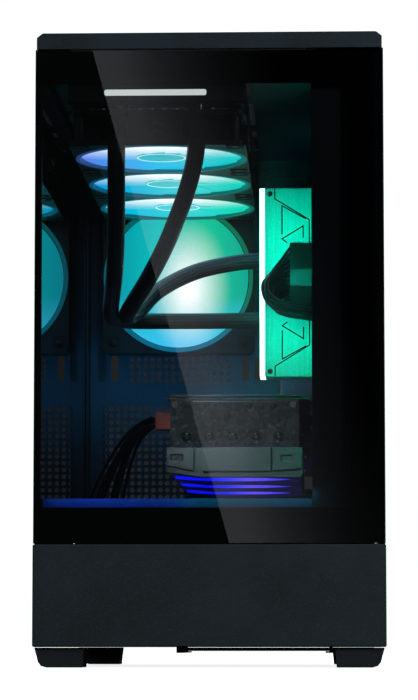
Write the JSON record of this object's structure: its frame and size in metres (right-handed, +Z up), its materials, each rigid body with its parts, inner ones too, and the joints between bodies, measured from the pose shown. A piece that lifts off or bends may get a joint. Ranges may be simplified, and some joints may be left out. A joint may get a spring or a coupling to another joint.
{
  "type": "desktop computer tower",
  "caption": "Compact desktop computer tower with glass front and side, lit cooling fans, liquid cooler, graphics card, memory and power supply inside.",
  "frame": {"origin": "on the floor, in the middle of the tower's footprint", "axes": "+Z up, front glass faces -Y, +X to the right of a person who faces the front"},
  "size_m": [0.2326, 0.428, 0.422],
  "materials": {
    "steel_black": "matte powder coat",
    "panel_grey": "fine textured matte",
    "cap_grey": "satin powder coat",
    "foot": "matte",
    "glass": "polished clear, black printed border",
    "screw_steel": "black plated",
    "mesh_black": "woven nylon mesh in a thin frame",
    "button_black": "satin",
    "connector_black": "matte",
    "radiator_black": "satin black paint",
    "fan_black": "matte",
    "blade_teal": "frosted translucent, lit from the hub",
    "blade_violet": "frosted translucent, lit from the rim",
    "pump_black": "glossy",
    "hose_black": "braided sleeve over rubber",
    "cable_black": "matte",
    "board_black": "matte solder mask",
    "steel_bright": "brushed",
    "heatsink_grey": "anodised grey",
    "ram_metal": "brushed, anodised",
    "backplate_black": "satin black",
    "fin_aluminium": "bare stacked fins",
    "shroud_grey": "matte grey",
    "galvanised": "galvanised, faint spangle",
    "plug_red": "matte red",
    "supply_black": "matte powder coat",
    "switch_red": "glossy rocker"
  },
  "bodies": {
    "chassis": {"base_pan": "steel_black", "rear_panel": "steel_black", "motherboard_tray": "steel_black", "top_frame": "steel_black", "front_frame": "steel_black", "front_column": "steel_black", "psu_shroud": "steel_black", "top_cap": "cap_grey", "foot_front_left": "foot", "foot_front_right": "foot", "foot_rear_left": "foot", "foot_rear_right": "foot", "port_strip": "connector_black", "atx_plug": "connector_black", "psu_inlet": "connector_black", "radiator": "radiator_black", "radiator_fan_frame_1": "fan_black", "radiator_fan_frame_2": "fan_black", "radiator_fan_frame_3": "fan_black", "rear_fan_frame": "fan_black", "pump_block": "pump_black", "hose_left": "hose_black", "hose_right": "hose_black", "atx_cable": "cable_black", "gpu_power_cable": "cable_black", "motherboard": "board_black", "gpu_board": "board_black", "io_shield": "steel_bright", "cpu": "steel_bright", "gpu_slot_bracket": "steel_bright", "io_cover": "heatsink_grey", "vrm_heatsink": "heatsink_grey", "ram_1": "ram_metal", "ram_2": "ram_metal", "gpu_backplate": "backplate_black", "gpu_heatsink": "fin_aluminium", "gpu_shroud": "shroud_grey", "gpu_end_bracket": "galvanised", "gpu_power_plug": "plug_red", "psu_housing": "supply_black"},
    "radiator_fan_rotor_1": {"radiator_fan_rotor_1": "blade_teal"},
    "radiator_fan_rotor_2": {"radiator_fan_rotor_2": "blade_teal"},
    "radiator_fan_rotor_3": {"radiator_fan_rotor_3": "blade_teal"},
    "rear_fan_rotor": {"rear_fan_rotor": "blade_teal"},
    "gpu_fan_rotor_1": {"gpu_fan_rotor_1": "blade_violet"},
    "gpu_fan_rotor_2": {"gpu_fan_rotor_2": "blade_violet"},
    "gpu_fan_rotor_3": {"gpu_fan_rotor_3": "blade_violet"},
    "psu_fan_rotor": {"psu_fan_rotor": "fan_black"},
    "power_button": {"power_button": "button_black"},
    "light_button": {"light_button": "button_black"},
    "psu_switch": {"psu_switch": "switch_red"},
    "front_glass": {"front_glass": "glass"},
    "lower_front_panel": {"lower_front_panel": "panel_grey"},
    "side_glass": {"side_glass": "glass", "glass_rail": "steel_black", "glass_thumbscrew": "screw_steel"},
    "right_side_panel": {"right_side_panel": "steel_black", "panel_thumbscrew": "screw_steel"},
    "top_dust_filter": {"top_dust_filter": "mesh_black"},
    "psu_dust_filter": {"psu_dust_filter": "mesh_black"}
  },
  "joints": [
    {"name": "radiator_fan_1_spin", "type": "hinge", "parent": "chassis", "child": "radiator_fan_rotor_1", "pos_m": [-0.036, -0.128, 0.351], "axis": [0, 0, 1], "continuous": true},
    {"name": "radiator_fan_2_spin", "type": "hinge", "parent": "chassis", "child": "radiator_fan_rotor_2", "pos_m": [-0.036, -0.0078, 0.351], "axis": [0, 0, 1], "continuous": true},
    {"name": "radiator_fan_3_spin", "type": "hinge", "parent": "chassis", "child": "radiator_fan_rotor_3", "pos_m": [-0.036, 0.1124, 0.351], "axis": [0, 0, 1], "continuous": true},
    {"name": "rear_fan_spin", "type": "hinge", "parent": "chassis", "child": "rear_fan_rotor", "pos_m": [-0.0385, 0.1823, 0.305], "axis": [0, 1, 0], "continuous": true},
    {"name": "gpu_fan_1_spin", "type": "hinge", "parent": "chassis", "child": "gpu_fan_rotor_1", "pos_m": [0.0135, -0.046, 0.133], "axis": [0, 0, 1], "continuous": true},
    {"name": "gpu_fan_2_spin", "type": "hinge", "parent": "chassis", "child": "gpu_fan_rotor_2", "pos_m": [0.0135, 0.05, 0.133], "axis": [0, 0, 1], "continuous": true},
    {"name": "gpu_fan_3_spin", "type": "hinge", "parent": "chassis", "child": "gpu_fan_rotor_3", "pos_m": [0.0135, 0.146, 0.133], "axis": [0, 0, 1], "continuous": true},
    {"name": "psu_fan_spin", "type": "hinge", "parent": "chassis", "child": "psu_fan_rotor", "pos_m": [0.035, 0.134, 0.022], "axis": [0, 0, 1], "continuous": true},
    {"name": "power_button_press", "type": "slide", "parent": "chassis", "child": "power_button", "axis": [0, 0, -1], "range_m": [0, 0.0015], "stiffness_N_per_m": 800, "springref_m": -0.0008},
    {"name": "light_button_press", "type": "slide", "parent": "chassis", "child": "light_button", "axis": [0, 0, -1], "range_m": [0, 0.0012], "stiffness_N_per_m": 800, "springref_m": -0.0006},
    {"name": "psu_switch_rock", "type": "hinge", "parent": "chassis", "child": "psu_switch", "pos_m": [-0.026, 0.1995, 0.039], "axis": [1, 0, 0], "range_deg": [-8, 8]},
    {"name": "front_glass_pull", "type": "slide", "parent": "chassis", "child": "front_glass", "axis": [0, -1, 0], "range_m": [0, 0.02]},
    {"name": "lower_front_panel_pull", "type": "slide", "parent": "chassis", "child": "lower_front_panel", "axis": [0, -1, 0], "range_m": [0, 0.02]},
    {"name": "side_glass_slide", "type": "slide", "parent": "chassis", "child": "side_glass", "axis": [0, 1, 0], "range_m": [0, 0.02]},
    {"name": "right_side_panel_slide", "type": "slide", "parent": "chassis", "child": "right_side_panel", "axis": [0, 1, 0], "range_m": [0, 0.02]},
    {"name": "top_dust_filter_lift", "type": "slide", "parent": "chassis", "child": "top_dust_filter", "axis": [0, 0, 1], "range_m": [0, 0.02]},
    {"name": "psu_dust_filter_slide", "type": "slide", "parent": "chassis", "child": "psu_dust_filter", "axis": [0, 1, 0], "range_m": [0, 0.15]}
  ]
}
